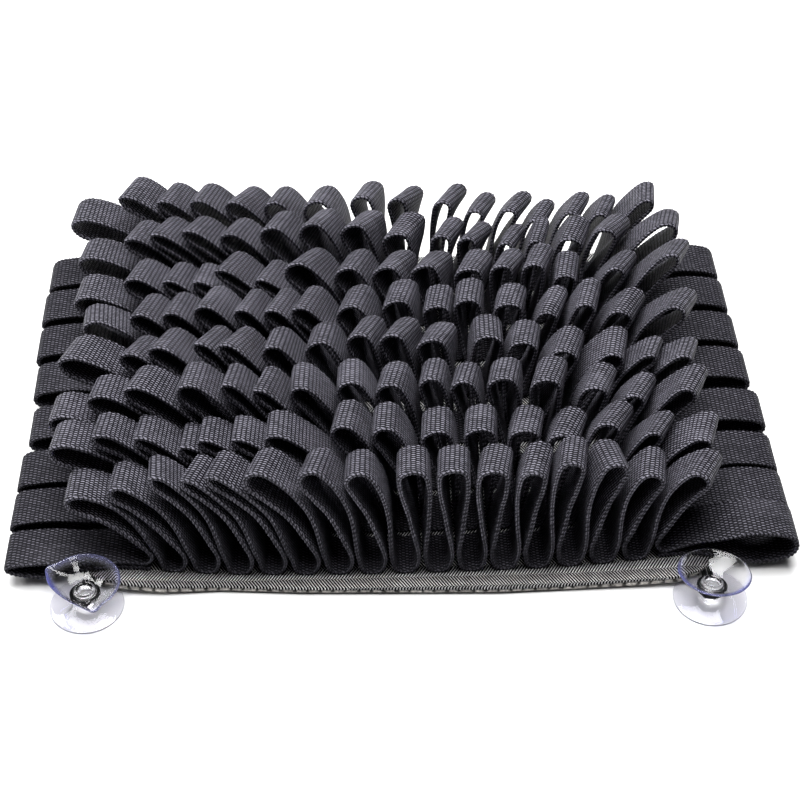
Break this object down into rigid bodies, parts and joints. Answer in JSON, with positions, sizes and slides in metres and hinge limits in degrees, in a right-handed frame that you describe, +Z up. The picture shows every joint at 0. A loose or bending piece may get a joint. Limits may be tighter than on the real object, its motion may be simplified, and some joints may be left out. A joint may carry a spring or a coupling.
{
  "type": "snuffle mat",
  "caption": "Pet snuffle mat: rows of standing webbing loops sewn on a felt-backed tweed base, with clear double-sided suction cups on elastic loops at its front corners.",
  "frame": {"origin": "on the floor under the middle of the mat's bounding box", "axes": "+X along the straps to the right, +Y from the front edge with the suction cups to the back, +Z up"},
  "size_m": [0.4044, 0.2926, 0.08],
  "materials": {
    "webbing": "coarse ribbed weave, matt",
    "tweed": "black and white herringbone weave",
    "felt": "matt grey felt",
    "clear_vinyl": "clear, glossy, faintly violet",
    "elastic": "matt black braided elastic"
  },
  "bodies": {
    "root": {"strap_1": "webbing", "strap_2": "webbing", "strap_3": "webbing", "strap_4": "webbing", "strap_5": "webbing", "strap_6": "webbing", "strap_7": "webbing", "strap_8": "webbing", "base_cloth": "tweed", "base_felt": "felt", "suction_cup_left": "clear_vinyl", "suction_cup_right": "clear_vinyl", "elastic_loop_left": "elastic", "elastic_loop_right": "elastic"}
  },
  "joints": []
}
